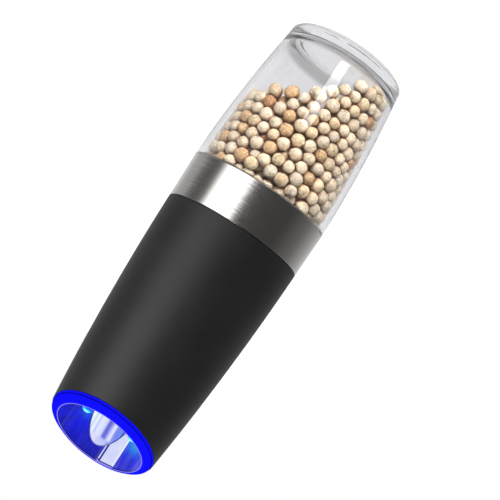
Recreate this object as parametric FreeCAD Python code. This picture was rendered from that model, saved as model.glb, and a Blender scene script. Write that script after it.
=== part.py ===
"""Battery pepper mill that grinds when it is tipped over. Millimetres, +Z up.

The mill stands on the foot of its jar, at z = 0. Its slanted outlet is at the top,
with the low side of the slant towards -Y.
"""
import FreeCAD, Part
import math
import os

from FreeCAD import Vector

# ---- driving dimensions: outside -------------------------------------------------
FOOT_R = 24.5            # flat ring that the jar stands on
HEEL_Z = 3.0             # where the jar's rounded corner meets its wall
HEEL_R = 27.1
SHOULDER_Z = 71.9        # top of the jar's visible wall
SHOULDER_R = 32.0
BAND_Z = 72.2            # steel band, from just above the shoulder
BAND_TOP_Z = 91.95
SEAM_Z = 92.2            # lower edge of the black shell
SEAM_R = 31.45
CUT_Z = 189.9            # where the slanted cut crosses the axis
CUT_R = 24.8
CUT_ANGLE = 24.3         # slant of the outlet, degrees from square
BULGE = 1.13             # how far the shell and the jar wall swell past a straight cone
SHELL_END_Z = 206.0      # the shell's outline, before the slant cuts it off

# ---- walls and clearances --------------------------------------------------------
SHELL_WALL = 1.7
JAR_WALL = 2.2
JAR_BASE = 4.5
JAR_FLOOR_R = 18.9       # flat part of the jar's inner floor
BAND_WALL = 0.6
RUNNING = 0.04           # radial clearance of a shaft in its bore
GAP = 0.05               # hairline between two pieces that rest on each other

# ---- outlet ----------------------------------------------------------------------
RIM_STEP = 0.35          # the light ring stands this far inside the shell's outline
RIM_HEIGHT = 2.6         # the light ring stands this far past the cut, along the axis
RIM_ROUND = 2.0
LINER_R = 20.4
LINER_WALL = 1.3
LINER_Z = 173.0
NOSE_R = 9.0
NOSE_TIP_Z = 195.2
NOSE_ROUND = 18.0        # height of the nose's domed end
COVER_Z = 168.0
COVER_R = 23.4
LED_X = 11.2
LED_Y = 3.0
LED_R = 2.5
LED_TIP_Z = 186.5
LED_FOOT_Z = 177.0
PAD_HALF = 3.7           # half width of the raised pad inside the liner
PAD_ANGLE = 17.0         # where the pad and the rib stand, degrees from the tall side
RIB_ANGLE = 6.6
FLUTE_X = (-3.8, -1.6)   # leaf-shaped flute on the front of the nose
FLUTE_Z = (180.2, 191.8)
FLUTE_DEPTH = 0.8

# ---- jar neck and its thread -----------------------------------------------------
STEP_R = 30.6            # the jar's wall goes on inside the band, set back to this radius
STEP_Z = 74.4            # up to here, where the neck starts
NECK_R = 26.6
NECK_BORE_R = 24.4
NECK_TOP_Z = 82.5
PITCH = 4.0
THREAD_Z = 75.8
THREAD_TURNS = 1.25
THREAD_DEPTH = 1.0
THREAD_SLACK = 0.35      # room between the jar's thread and the collar's
COLLAR_R = 30.9
COLLAR_Z = 74.6
COLLAR_TOP_Z = 84.4

# ---- grinder ---------------------------------------------------------------------
SCREW_ORBIT = 18.2
SCREW_ANGLES = (25, 155, 205, 335)
BASE_Z = 84.6
BASE_TOP_Z = 87.6
SPIGOT_R = 29.3
SPIGOT_WALL = 1.9
SPIGOT_TOP_Z = 98.0
STATOR_R = 14.4
STATOR_Z = 73.2
STATOR_TOP_Z = 84.3
CUP_WALL = 2.1           # wall of the cup round the fixed burr
CUP_LIP = 0.7
FLANGE_R = 20.0
BURR_SCREW_R = 1.0
BURR_HOLE_R = 1.1
ROTOR_Z = 73.6
ROTOR_TOP_Z = 82.6
SHAFT_R = 3.0
SHAFT_FLAT = 2.5
SHAFT_Z = 65.0
KNOB_R = 8.5
KNOB_Z = 62.0
BUSH_R = 5.0
SPRING_SEAT = 4.0        # depth of the spring's pocket in the rotor

# ---- gearbox: two equal planetary stages, module 0.5 -----------------------------
MODULE = 0.5
SUN_TEETH = 12
PLANET_TEETH = 15
RING_TEETH = 42
ADDENDUM = 0.38
DEDENDUM = 0.52
TOOTH_HALF = 0.33        # half of a tooth's thickness on its pitch circle
PRESSURE = math.radians(20)
PLANET_COUNT = 3
ORBIT_R = MODULE * (SUN_TEETH + PLANET_TEETH) / 2
GEAR_WIDTH = 5.0
HOUSING_R = 14.5
HOUSING_Z = 88.2
HOUSING_TOP_Z = 105.4
HOUSING_FLOOR = 1.5
STAGE_Z = {"output": 92.2, "first": 99.8}   # underside of each stage's planets
CARRIER_R = 9.3
CARRIER_THICK = 1.6
CARRIER_GAP = 0.4        # between a carrier's plate and its planets
PIN_R = 1.0
PIN_LENGTH = 6.9

# ---- motor -----------------------------------------------------------------------
MOTOR_R = 12.2
MOTOR_Z = 107.6
MOTOR_TOP_Z = 137.6
MOTOR_SHAFT_R = 1.0
CAN_WALL = 0.8
MOTOR_SCREW_ORBIT = 7.5
MOTOR_SCREW_R = 1.25
MOTOR_HOLE_R = 1.3
MAGNET_BORE_R = 9.5
ARMATURE_R = 9.0

# ---- batteries and their carrier -------------------------------------------------
CELL_R = 5.15
CELL_LENGTH = 43.7
CELL_NUB = 0.8
CELL_ORBIT = 20.3
CELL_STEP = 36.0         # angle between neighbouring cells of one side
BAY_Z = 101.5
BAY_TOP_Z = 152.0
CONTACT_R = 4.2
CONTACT_THICK = 0.45
CARRIER_PLATE_R = 25.3
CARRIER_PLATE = 2.5
CHUTE_X = 8.5            # half width of a powder chute
CHUTE_Y = (15.0, 22.5)
BOARD_Z = 160.0
BOARD_THICK = 1.6
BOARD_R = 20.8
COVER_SCREW_ORBIT = 9.5
SWITCH_R = 3.4
SWITCH_TOP_Z = 176.5
SWITCH_WALL = 0.5
BALL_R = 2.4

AXIS = Vector(0, 0, 1)
ORIGIN = Vector(0, 0, 0)


# ---- helpers ---------------------------------------------------------------------
def cylinder(radius, z_low, z_high, x=0.0, y=0.0):
    """Upright cylinder between two heights."""
    return Part.makeCylinder(radius, z_high - z_low, Vector(x, y, z_low))


def tube(outer, inner, z_low, z_high, x=0.0, y=0.0):
    """Upright tube between two heights."""
    return cylinder(outer, z_low, z_high, x, y).cut(cylinder(inner, z_low, z_high, x, y))


def block(x, y, z):
    """Box from three (low, high) pairs."""
    size = [high - low for low, high in (x, y, z)]
    return Part.makeBox(*size, Vector(x[0], y[0], z[0]))


def turned(shape, degrees):
    """Copy of a shape, turned about the mill's axis."""
    copy = shape.copy()
    copy.rotate(ORIGIN, AXIS, degrees)
    return copy


def around(shape, count):
    """Copies of a shape, evenly spaced about the mill's axis."""
    return [turned(shape, 360.0 * i / count) for i in range(count)]


def fuse(shapes):
    """One shape from several that touch."""
    whole = shapes[0].multiFuse(shapes[1:]) if len(shapes) > 1 else shapes[0]
    return whole.removeSplitter()


def point(radius, z):
    """Point of a half section, in the XZ plane."""
    return Vector(radius, 0, z)


def revolve(edges):
    """Solid from a closed half section in the XZ plane."""
    return Part.Face(Part.Wire(edges)).revolve(ORIGIN, AXIS, 360)


def lines(points):
    """Straight edges through (radius, z) points."""
    corners = [point(*p) for p in points]
    return [Part.LineSegment(a, b).toShape() for a, b in zip(corners, corners[1:])]


def arc(start, middle, end):
    """Arc through three (radius, z) points."""
    return Part.Arc(point(*start), point(*middle), point(*end)).toShape()


def swollen(low, high, z):
    """Radius at height z of a wall between two (radius, z) ends that bulges outwards."""
    t = (z - low[1]) / (high[1] - low[1])
    return low[0] + (high[0] - low[0]) * t + 4 * BULGE * t * (1 - t)


def shell_radius(z):
    """Outside radius of the black shell, and of the ring that carries on its outline."""
    return swollen((CUT_R, CUT_Z), (SEAM_R, SEAM_Z), z)


def jar_radius(z):
    """Outside radius of the jar's wall."""
    return swollen((SHOULDER_R, SHOULDER_Z), (HEEL_R, HEEL_Z), z)


def body_of_shell(inset):
    """Solid inside the shell's outline, drawn in by inset."""
    z_mid = (SEAM_Z + SHELL_END_Z) / 2
    low, middle, high = [(shell_radius(z) - inset, z) for z in (SEAM_Z, z_mid, SHELL_END_Z)]
    flat = lines([high, (0, SHELL_END_Z), (0, SEAM_Z), low])
    return revolve([arc(low, middle, high)] + flat)


def below_slant(z_axis):
    """Everything below the slanted plane that crosses the axis at z_axis."""
    reach = 300.0
    half = Part.makeBox(reach, reach, reach, Vector(-reach / 2, -reach / 2, -reach))
    half.rotate(ORIGIN, Vector(1, 0, 0), CUT_ANGLE)
    half.translate(Vector(0, 0, z_axis))
    return half


def helix_solid(section, pitch, height, radius, z_low):
    """Sweep of a closed (radius, z) outline along a helix; z counts from the helix."""
    path = Part.makeHelix(pitch, height, radius)
    path.translate(Vector(0, 0, z_low))
    wire = Part.Wire(lines([(r, z + z_low) for r, z in section + section[:1]]))
    return Part.Wire(path.Edges).makePipeShell([wire], True, True)


def spring(radius, wire_r, turns, z_low, z_high):
    """Coil of eight-sided wire between two heights."""
    height = z_high - z_low - 2 * wire_r
    angles = [math.radians(45 * i + 22.5) for i in range(8)]
    section = [(radius + wire_r * math.cos(a), wire_r * math.sin(a)) for a in angles]
    return helix_solid(section, height / turns, height, radius, z_low + wire_r)


# ---- jar -------------------------------------------------------------------------
def jar():
    """Clear jar with a thick foot, a rounded heel and a threaded neck."""
    mid_z = (HEEL_Z + SHOULDER_Z) / 2
    heel = (HEEL_R, HEEL_Z)
    shoulder = (SHOULDER_R, SHOULDER_Z)
    lip_r = 0.6
    outer = [
        arc((FOOT_R, 0), (HEEL_R - 0.75, 0.8), heel),
        arc(heel, (jar_radius(mid_z), mid_z), shoulder),
    ]
    lip_mid = lip_r * (1 - math.sqrt(0.5))
    lip = [
        (NECK_R, NECK_TOP_Z - lip_r),
        (NECK_R - lip_mid, NECK_TOP_Z - lip_mid),
        (NECK_R - lip_r, NECK_TOP_Z),
    ]
    outer += lines([shoulder, (STEP_R, SHOULDER_Z), (STEP_R, STEP_Z), (NECK_R, STEP_Z), lip[0]])
    outer += [arc(*lip)]
    outer += lines([lip[2], (0, NECK_TOP_Z), (0, 0), (FOOT_R, 0)])

    wall_z = JAR_BASE + 6.5
    roof_r = 3.0
    roof_z = STEP_Z - 1.2
    wall = [(jar_radius(z) - JAR_WALL, z) for z in (wall_z, mid_z, roof_z - roof_r)]
    bend = (wall[2][0] - roof_r, wall[2][1])
    slant = roof_r * math.sqrt(0.5)
    inner = [
        arc((JAR_FLOOR_R, JAR_BASE), (wall[0][0] - 2.0, JAR_BASE + 1.75), wall[0]),
        arc(*wall),
        arc(wall[2], (bend[0] + slant, bend[1] + slant), (bend[0], roof_z)),
    ]
    inner += lines([
        (bend[0], roof_z), (NECK_BORE_R, roof_z), (NECK_BORE_R, NECK_TOP_Z),
        (0, NECK_TOP_Z), (0, JAR_BASE), (JAR_FLOOR_R, JAR_BASE),
    ])

    root = NECK_R - 0.4
    tip = NECK_R + THREAD_DEPTH
    ridge = helix_solid(
        [(root, -1.1), (tip, -0.45), (tip, 0.45), (root, 1.1)],
        PITCH, PITCH * THREAD_TURNS, NECK_R, THREAD_Z)
    return revolve(outer).cut(revolve(inner)).fuse(ridge)


def jar_seal():
    """Flat silicone ring that the jar's lip presses on."""
    return tube(NECK_R, NECK_BORE_R + 0.2, NECK_TOP_Z + 2 * GAP, BASE_Z - 2 * GAP)


# ---- band, collar and grinder base -----------------------------------------------
def band_radius(z):
    """Outside radius of the steel band."""
    t = (z - BAND_Z) / (BAND_TOP_Z - BAND_Z)
    return SHOULDER_R + (SEAM_R - SHOULDER_R) * t


def steel_band():
    """Brushed steel ring over the thread collar."""
    low = band_radius(BAND_Z)
    high = band_radius(BAND_TOP_Z)
    edge = 0.25
    section = [
        (low - edge, BAND_Z), (low, BAND_Z + edge), (high, BAND_TOP_Z - edge), (high - edge, BAND_TOP_Z),
        (high - BAND_WALL, BAND_TOP_Z), (low - BAND_WALL, BAND_Z), (low - edge, BAND_Z),
    ]
    return revolve(lines(section))


def thread_collar():
    """Collar whose inside thread takes the jar's neck."""
    bore_r = NECK_R + THREAD_SLACK
    deep = NECK_R + THREAD_DEPTH + THREAD_SLACK
    groove = helix_solid(
        [(bore_r - 0.6, -1.75), (deep, -0.8), (deep, 0.8), (bore_r - 0.6, 1.75)],
        PITCH, PITCH * 2.5, NECK_R, THREAD_Z - PITCH)
    return tube(COLLAR_R, bore_r, COLLAR_Z, COLLAR_TOP_Z).cut(groove)


def chute_slots(z_low, z_high, clearance=0.0, inner=None):
    """Two slots, front and back, that the powder chutes pass through."""
    x = CHUTE_X + clearance
    y_low = CHUTE_Y[0] - clearance if inner is None else inner
    slot = block((-x, x), (y_low, CHUTE_Y[1] + clearance), (z_low, z_high))
    return around(slot, 2)


def at_screws(shape):
    """Copies of a shape at the four burr screws; the shape is built on the +X side."""
    return [turned(shape, angle) for angle in SCREW_ANGLES]


def grinder_base():
    """Disc under the gearbox, with the spigot that the shell slides on to."""
    way_in_y = 7.0
    disc = cylinder(COLLAR_R, BASE_Z, BASE_TOP_Z)
    ledge = tube(COLLAR_R - 0.2, SPIGOT_R - 1.0, BASE_TOP_Z, BAND_TOP_Z - 2 * GAP)
    spigot = tube(SPIGOT_R, SPIGOT_R - SPIGOT_WALL, BASE_TOP_Z, SPIGOT_TOP_Z)
    base = fuse([disc, ledge, spigot])
    holes = [cylinder(BUSH_R, BASE_Z, BASE_TOP_Z)]
    holes += chute_slots(BASE_Z, BASE_TOP_Z, 0, way_in_y)
    hole = cylinder(BURR_HOLE_R, BASE_Z, BASE_TOP_Z, SCREW_ORBIT)
    return base.cut(holes + at_screws(hole))


def burr_housing():
    """Cup that hangs into the jar's mouth and holds the fixed burr."""
    low_z = STATOR_Z - CUP_LIP
    top_z = BASE_Z - 2 * GAP
    flange_z = BASE_Z - 1.7
    boss_r = 2.2
    cup = tube(STATOR_R + CUP_WALL, STATOR_R + GAP, low_z, top_z)
    lip = tube(STATOR_R + CUP_WALL, STATOR_R - 1.0, low_z, STATOR_Z - GAP)
    flange = tube(FLANGE_R, STATOR_R + 2.0, flange_z, top_z)
    bosses = at_screws(cylinder(boss_r, flange_z - 3, top_z, SCREW_ORBIT))
    inside = cylinder(STATOR_R + GAP, STATOR_Z - GAP, BASE_Z)
    holes = at_screws(cylinder(BURR_HOLE_R, flange_z - 2, BASE_Z, SCREW_ORBIT))
    return fuse([cup, lip, flange] + bosses).cut([inside] + holes)


def screw(radius, head_r, z_low, z_head, x, y=0.0):
    """Pan-head screw, head up, with a cross recess."""
    head_height = 1.4
    slot_depth = 0.7
    head = cylinder(head_r, z_head, z_head + head_height, x, y)
    shank = cylinder(radius, z_low, z_head, x, y)
    slot = 0.5
    top = (z_head + head_height - slot_depth, z_head + head_height)
    cross = [
        block((x - head_r, x + head_r), (y - slot / 2, y + slot / 2), top),
        block((x - slot / 2, x + slot / 2), (y - head_r, y + head_r), top),
    ]
    return head.fuse(shank).cut(cross)


def burr_screws():
    """Screws that pull the burr housing up to the grinder base."""
    one = screw(BURR_SCREW_R, 2.0, BASE_Z - 3.6, BASE_TOP_Z, SCREW_ORBIT)
    return Part.makeCompound(at_screws(one))


# ---- burrs, knob and output shaft ------------------------------------------------
def burr_stator():
    """Fixed ceramic burr: a ring with upright teeth inside."""
    mouth_r = 12.4
    exit_r = 12.0
    teeth_top = STATOR_TOP_Z - 3
    section = [
        (STATOR_R, STATOR_Z), (STATOR_R, STATOR_TOP_Z), (exit_r, STATOR_TOP_Z),
        (exit_r, teeth_top), (mouth_r, STATOR_Z), (STATOR_R, STATOR_Z),
    ]
    ring = revolve(lines(section))
    tooth_count = 24
    groove_side = 1.4
    groove = Part.makeBox(
        groove_side, groove_side, teeth_top - STATOR_Z, Vector(-groove_side / 2, -groove_side / 2, STATOR_Z))
    groove.rotate(ORIGIN, AXIS, 45)
    groove.translate(Vector(mouth_r, 0, 0))
    return ring.cut(around(groove, tooth_count))


def shaft_section(radius, flat, z_low, z_high):
    """Round bar with two flats."""
    return cylinder(radius, z_low, z_high).common(
        block((-radius, radius), (-flat, flat), (z_low, z_high)))


def burr_rotor():
    """Turning ceramic burr: a grooved cone, driven by the shaft's flats."""
    nose_r = 6.2
    wide_r = 11.5
    wide_z = ROTOR_TOP_Z - 3
    pocket_r = 5.3
    section = [
        (0, ROTOR_Z), (nose_r, ROTOR_Z), (wide_r, wide_z),
        (wide_r, ROTOR_TOP_Z), (0, ROTOR_TOP_Z), (0, ROTOR_Z),
    ]
    cone = revolve(lines(section))
    groove_count = 9
    groove_side = 2.0
    groove_length = 14.0
    slope = math.degrees(math.atan2(wide_r - nose_r, wide_z - ROTOR_Z))
    groove = Part.makeBox(
        groove_side, groove_side, groove_length, Vector(-groove_side / 2, -groove_side / 2, -groove_side))
    groove.rotate(ORIGIN, AXIS, 45)
    groove.rotate(ORIGIN, Vector(0, 1, 0), slope)
    groove.translate(Vector(nose_r + 0.2, 0, ROTOR_Z))
    bore = shaft_section(SHAFT_R + RUNNING, SHAFT_FLAT + RUNNING, ROTOR_Z, ROTOR_TOP_Z)
    pocket = cylinder(pocket_r, ROTOR_TOP_Z - SPRING_SEAT, ROTOR_TOP_Z)
    return cone.cut([bore, pocket] + around(groove, groove_count))


def burr_spring():
    """Coil that holds the rotor burr down on the knob."""
    return spring(4.1, 0.45, 3.5, ROTOR_TOP_Z - SPRING_SEAT + GAP, BASE_Z - 0.3)


def adjust_knob():
    """Fluted knob inside the jar's mouth that sets how coarse the mill grinds."""
    top_z = ROTOR_Z - 2 * GAP
    flute_r = 1.1
    flute_count = 12
    knob = cylinder(KNOB_R, KNOB_Z, top_z)
    rims = [e for e in knob.Edges if len(e.Vertexes) == 1]
    knob = knob.makeFillet(1.0, rims)
    flutes = around(cylinder(flute_r, KNOB_Z, top_z - 2.5, KNOB_R + 0.4), flute_count)
    bore = cylinder(SHAFT_R + RUNNING, KNOB_Z + 1.2, top_z)
    return knob.cut(flutes + [bore])


def output_shaft():
    """Shaft from the gearbox to the burr, with flats where the burr sits."""
    flats_z = (ROTOR_Z - 0.4, ROTOR_TOP_Z + 1.4)
    flats = shaft_section(SHAFT_R, SHAFT_FLAT, *flats_z)
    low = cylinder(SHAFT_R, SHAFT_Z, flats_z[0])
    high = cylinder(SHAFT_R, flats_z[1], STAGE_Z["output"] - CARRIER_GAP)
    return fuse([low, flats, high])


def shaft_bush():
    """Bronze bush that carries the output shaft."""
    return tube(BUSH_R, SHAFT_R + RUNNING, BASE_Z, HOUSING_Z + HOUSING_FLOOR)


# ---- gears -----------------------------------------------------------------------
def tooth_outline(teeth, tip_r, root_r, pitch_r, phase):
    """Closed outline of straight-sided teeth; a tooth is centred on phase."""
    corners = []
    spread = math.tan(PRESSURE)
    for i in range(teeth):
        middle = phase + 2 * math.pi * i / teeth
        for radius, side in ((root_r, -1), (tip_r, -1), (tip_r, 1), (root_r, 1)):
            towards_tip = math.copysign(1, tip_r - pitch_r)
            half = TOOTH_HALF - (radius - pitch_r) * towards_tip * spread
            turn = middle + side * half / radius
            corners.append(Vector(radius * math.cos(turn), radius * math.sin(turn), 0))
    corners.append(corners[0])
    return Part.Wire(Part.makePolygon(corners))


def extruded(outline, z_low, z_high):
    """Solid from a flat outline."""
    face = Part.Face(outline)
    face.translate(Vector(0, 0, z_low))
    return face.extrude(Vector(0, 0, z_high - z_low))


def gear(teeth, z_low, phase_degrees=0.0, width=GEAR_WIDTH):
    """Spur gear about the mill's axis."""
    pitch_r = MODULE * teeth / 2
    outline = tooth_outline(
        teeth, pitch_r + ADDENDUM, pitch_r - DEDENDUM, pitch_r, math.radians(phase_degrees))
    return extruded(outline, z_low, z_low + width)


def gear_housing():
    """Gearbox can with the ring gear's teeth inside and a floor for the bush."""
    pitch_r = MODULE * RING_TEETH / 2
    floor_z = HOUSING_Z + HOUSING_FLOOR
    outline = tooth_outline(
        RING_TEETH, pitch_r - ADDENDUM, pitch_r + DEDENDUM, pitch_r, math.pi / RING_TEETH)
    can = cylinder(HOUSING_R, HOUSING_Z, HOUSING_TOP_Z)
    inside = extruded(outline, floor_z, HOUSING_TOP_Z)
    return can.cut([inside, cylinder(BUSH_R, HOUSING_Z, floor_z)])


def planet(stage, index):
    """One planet gear, in mesh with its sun and the ring."""
    place = 360.0 * index / PLANET_COUNT
    z_low = STAGE_Z[stage]
    phase = place + 180 + 180.0 / PLANET_TEETH
    wheel = gear(PLANET_TEETH, z_low, phase)
    wheel = wheel.cut(cylinder(PIN_R + RUNNING, z_low, z_low + GEAR_WIDTH))
    offset = turned(Part.Vertex(ORBIT_R, 0, 0), place).Point
    wheel.translate(offset)
    return wheel


def carrier_plate(stage):
    """Round plate below a stage's planets, with holes for their pins."""
    top_z = STAGE_Z[stage] - CARRIER_GAP
    plate = cylinder(CARRIER_R, top_z - CARRIER_THICK, top_z)
    return plate.cut(around(cylinder(PIN_R, top_z - CARRIER_THICK, top_z, ORBIT_R), PLANET_COUNT))


def output_carrier():
    """Plate that the output shaft is pressed into."""
    return carrier_plate("output").cut(cylinder(SHAFT_R, HOUSING_Z, STAGE_Z["output"]))


def first_carrier():
    """Plate of the first stage, in one piece with the second stage's sun."""
    sun_z = STAGE_Z["output"]
    plate_z = STAGE_Z["first"] - CARRIER_GAP - CARRIER_THICK
    sun = gear(SUN_TEETH, sun_z, width=plate_z - sun_z)
    return carrier_plate("first").fuse(sun)


def planet_pins(stage):
    """Steel pins that the planets turn on."""
    z_low = STAGE_Z[stage] - CARRIER_GAP - CARRIER_THICK
    return Part.makeCompound(around(cylinder(PIN_R, z_low, z_low + PIN_LENGTH, ORBIT_R), PLANET_COUNT))


# ---- motor -----------------------------------------------------------------------
def motor_holes(z_low, z_high):
    """Two holes for the motor's screws."""
    return around(cylinder(MOTOR_HOLE_R, z_low, z_high, MOTOR_SCREW_ORBIT), 2)


def motor_plate():
    """Plate that closes the gearbox and carries the motor."""
    pinion_hole_r = 3.3
    holes = [cylinder(pinion_hole_r, HOUSING_TOP_Z, MOTOR_Z)]
    holes += motor_holes(HOUSING_TOP_Z, MOTOR_Z)
    return cylinder(HOUSING_R, HOUSING_TOP_Z + GAP, MOTOR_Z - GAP).cut(holes)


def motor_screws():
    """Short screws from the plate into the motor's face."""
    low_z = HOUSING_TOP_Z + 0.9
    shank = cylinder(MOTOR_SCREW_R, low_z, MOTOR_Z + CAN_WALL - GAP, MOTOR_SCREW_ORBIT)
    return Part.makeCompound(around(shank, 2))


def motor_can():
    """Steel can of the motor, closed at the gearbox end."""
    face_z = MOTOR_Z + CAN_WALL
    can = cylinder(MOTOR_R, MOTOR_Z, MOTOR_TOP_Z)
    holes = [cylinder(MOTOR_R - CAN_WALL, face_z, MOTOR_TOP_Z)]
    holes += [cylinder(MOTOR_SHAFT_R + RUNNING, MOTOR_Z, face_z)]
    holes += motor_holes(MOTOR_Z, face_z)
    return can.cut(holes)


def motor_magnets():
    """Two curved magnets inside the can."""
    z_low = MOTOR_Z + 4
    z_high = MOTOR_TOP_Z - 3
    spread = 120
    outer_r = MOTOR_R - CAN_WALL - 2 * GAP
    sector = Part.makeCylinder(outer_r, z_high - z_low, Vector(0, 0, z_low), AXIS, spread)
    magnet = turned(sector.cut(cylinder(MAGNET_BORE_R, z_low, z_high)), -spread / 2)
    return Part.makeCompound(around(magnet, 2))


def motor_armature():
    """Slotted iron core that turns between the magnets."""
    z_low = MOTOR_Z + 5
    z_high = MOTOR_TOP_Z - 4
    core = cylinder(ARMATURE_R, z_low, z_high).cut(cylinder(MOTOR_SHAFT_R, z_low, z_high))
    slot = block((3.2, ARMATURE_R + 0.5), (-1.2, 1.2), (z_low, z_high))
    return core.cut(around(slot, 3))


def motor_shaft():
    """Motor shaft, from the first sun gear to the end cap."""
    return cylinder(MOTOR_SHAFT_R, STAGE_Z["first"], MOTOR_TOP_Z + 2)


def motor_pinion():
    """Brass sun gear of the first stage."""
    z_low = STAGE_Z["first"]
    return gear(SUN_TEETH, z_low).cut(cylinder(MOTOR_SHAFT_R, z_low, z_low + GEAR_WIDTH))


def motor_end_cap():
    """Moulded cap with the motor's two terminals."""
    top_z = MOTOR_TOP_Z + 2.4
    terminal_length = 4
    cap = cylinder(MOTOR_R, MOTOR_TOP_Z + 0.02, top_z)
    cap = cap.cut(cylinder(MOTOR_SHAFT_R + RUNNING, MOTOR_TOP_Z, top_z))
    terminal = block((7.0, 7.5), (-1.4, 1.4), (top_z, top_z + terminal_length))
    return fuse([cap] + around(terminal, 2))


# ---- battery carrier -------------------------------------------------------------
def cell_places():
    """Centre and direction of each cell; every other one stands on its head."""
    places = []
    for side in (0.0, 180.0):
        for step in (-1, 0, 1):
            angle = math.radians(side + step * CELL_STEP)
            upright = step != 0 if side == 0.0 else step == 0
            places.append((CELL_ORBIT * math.cos(angle), CELL_ORBIT * math.sin(angle), upright))
    return places


def placed_in_bay(shape, place):
    """Copy of a shape built for an upright cell on the axis, moved to its bay."""
    x, y, upright = place
    copy = shape.copy()
    if not upright:
        copy.rotate(Vector(0, 0, (BAY_Z + BAY_TOP_Z) / 2), Vector(1, 0, 0), 180)
    copy.translate(Vector(x, y, 0))
    return copy


def cell():
    """AAA cell with its nub up."""
    nub_r = 1.9
    z_low = BAY_Z + 5.0
    z_high = z_low + CELL_LENGTH
    body = cylinder(CELL_R, z_low, z_high)
    rims = [e for e in body.Edges if len(e.Vertexes) == 1]
    return body.makeFillet(0.5, rims).fuse(cylinder(nub_r, z_high, z_high + CELL_NUB))


def contact_springs():
    """Coil contact under the flat end of every cell."""
    coil = spring(3.0, 0.4, 3, BAY_Z + CONTACT_THICK + 2 * GAP, BAY_Z + 4.9)
    return Part.makeCompound([placed_in_bay(coil, place) for place in cell_places()])


def contact_plates():
    """Plate behind each spring, and domed plate at each nub."""
    dome_r = 1.6
    dome_height = 0.3
    nub_plate_z = BAY_TOP_Z - GAP - CONTACT_THICK
    spring_plate = cylinder(CONTACT_R, BAY_Z + GAP, BAY_Z + GAP + CONTACT_THICK)
    nub_plate = cylinder(CONTACT_R, nub_plate_z, BAY_TOP_Z - GAP)
    nub_plate = nub_plate.fuse(cylinder(dome_r, nub_plate_z - dome_height, nub_plate_z))
    plates = [placed_in_bay(p, place) for place in cell_places() for p in (spring_plate, nub_plate)]
    return Part.makeCompound(plates)


def battery_carrier():
    """Frame with three cell bays each side of the motor and a gap for each chute."""
    plate_low = BAY_Z - CARRIER_PLATE
    plate_high = BAY_TOP_Z + CARRIER_PLATE
    wire_hole_r = 5.0
    gearbox = cylinder(HOUSING_R + 0.2, plate_low, BAY_Z)
    lower = cylinder(CARRIER_PLATE_R, plate_low, BAY_Z).cut(gearbox)
    upper = cylinder(CARRIER_PLATE_R, BAY_TOP_Z, plate_high)
    upper = upper.cut(cylinder(wire_hole_r, BAY_TOP_Z, plate_high))
    sleeve = tube(MOTOR_R + 1.9, MOTOR_R + 0.3, MOTOR_Z + 0.2, BAY_TOP_Z)
    post_x = (CHUTE_X + 0.7, CHUTE_X + 2.1)
    post_y = (11.9, CHUTE_Y[1] + 0.2)
    post = block(post_x, post_y, (BASE_TOP_Z + 2 * GAP, BAY_TOP_Z))
    mirrored = post.mirror(ORIGIN, Vector(0, 1, 0))
    posts = around(post, 2) + around(mirrored, 2)
    frame = fuse([lower, upper, sleeve] + posts)
    slots = chute_slots(plate_low, plate_high, 0.15)
    pilots = around(cylinder(0.9, BAY_TOP_Z, plate_high, 0, COVER_SCREW_ORBIT), 2)
    return frame.cut(slots + pilots)


def powder_chutes():
    """Two square ducts that carry the ground pepper past the batteries."""
    wall = 0.9
    way_in_height = 0.4
    low = BASE_TOP_Z + GAP
    high = COVER_Z - 2 * GAP
    bore_x = (-CHUTE_X + wall, CHUTE_X - wall)
    outside = block((-CHUTE_X, CHUTE_X), CHUTE_Y, (low, high))
    inside = block(bore_x, (CHUTE_Y[0] + wall, CHUTE_Y[1] - wall), (low, high))
    way_in = block(bore_x, (CHUTE_Y[0], CHUTE_Y[0] + wall), (low, low + way_in_height))
    return Part.makeCompound(around(outside.cut([inside, way_in]), 2))


# ---- electronics -----------------------------------------------------------------
def circuit_board():
    """Round board above the batteries."""
    top_z = BOARD_Z + BOARD_THICK
    holes = chute_slots(BOARD_Z, top_z, 0.4)
    holes += around(cylinder(1.3, BOARD_Z, top_z, 0, COVER_SCREW_ORBIT), 2)
    return cylinder(BOARD_R, BOARD_Z, top_z).cut(holes)


def tilt_switch():
    """Can of the gravity switch, upright in the hollow of the nose."""
    end_wall = 0.6
    low = BOARD_Z + BOARD_THICK + GAP
    inside = cylinder(SWITCH_R - SWITCH_WALL, low + end_wall, SWITCH_TOP_Z - end_wall)
    return cylinder(SWITCH_R, low, SWITCH_TOP_Z).cut(inside)


def tilt_ball():
    """Ball that rolls on to the switch's contacts when the mill is tipped over."""
    return Part.makeSphere(BALL_R, Vector(0, 0, BOARD_Z + BOARD_THICK + 0.75 + BALL_R))


def board_parts():
    """Driver chip and coil on the board."""
    low = BOARD_Z + BOARD_THICK + 0.03
    chip_height = 1.4
    coil_r = 2.6
    coil_height = 3.0
    chip = block((-14.5, -9.5), (-7.5, -3.0), (low, low + chip_height))
    coil = cylinder(coil_r, low, low + coil_height, 12.5, -7.5)
    return Part.makeCompound([chip, coil])


def leds():
    """Two 5 mm LEDs, one each side of the nose."""
    ball_z = LED_TIP_Z - LED_R
    shapes = []
    for x in (-LED_X, LED_X):
        stem = cylinder(LED_R, LED_FOOT_Z, ball_z, x, LED_Y)
        shapes.append(fuse([stem, Part.makeSphere(LED_R, Vector(x, LED_Y, ball_z))]))
    return Part.makeCompound(shapes)


def led_legs():
    """Wire legs from the LEDs down to the board."""
    leg_r = 0.25
    leg_x = 1.27
    low = BOARD_Z + BOARD_THICK + 0.03
    high = LED_FOOT_Z - GAP
    legs = [cylinder(leg_r, low, high, x + dx, LED_Y) for x in (-LED_X, LED_X) for dx in (-leg_x, leg_x)]
    return Part.makeCompound(legs)


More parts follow.
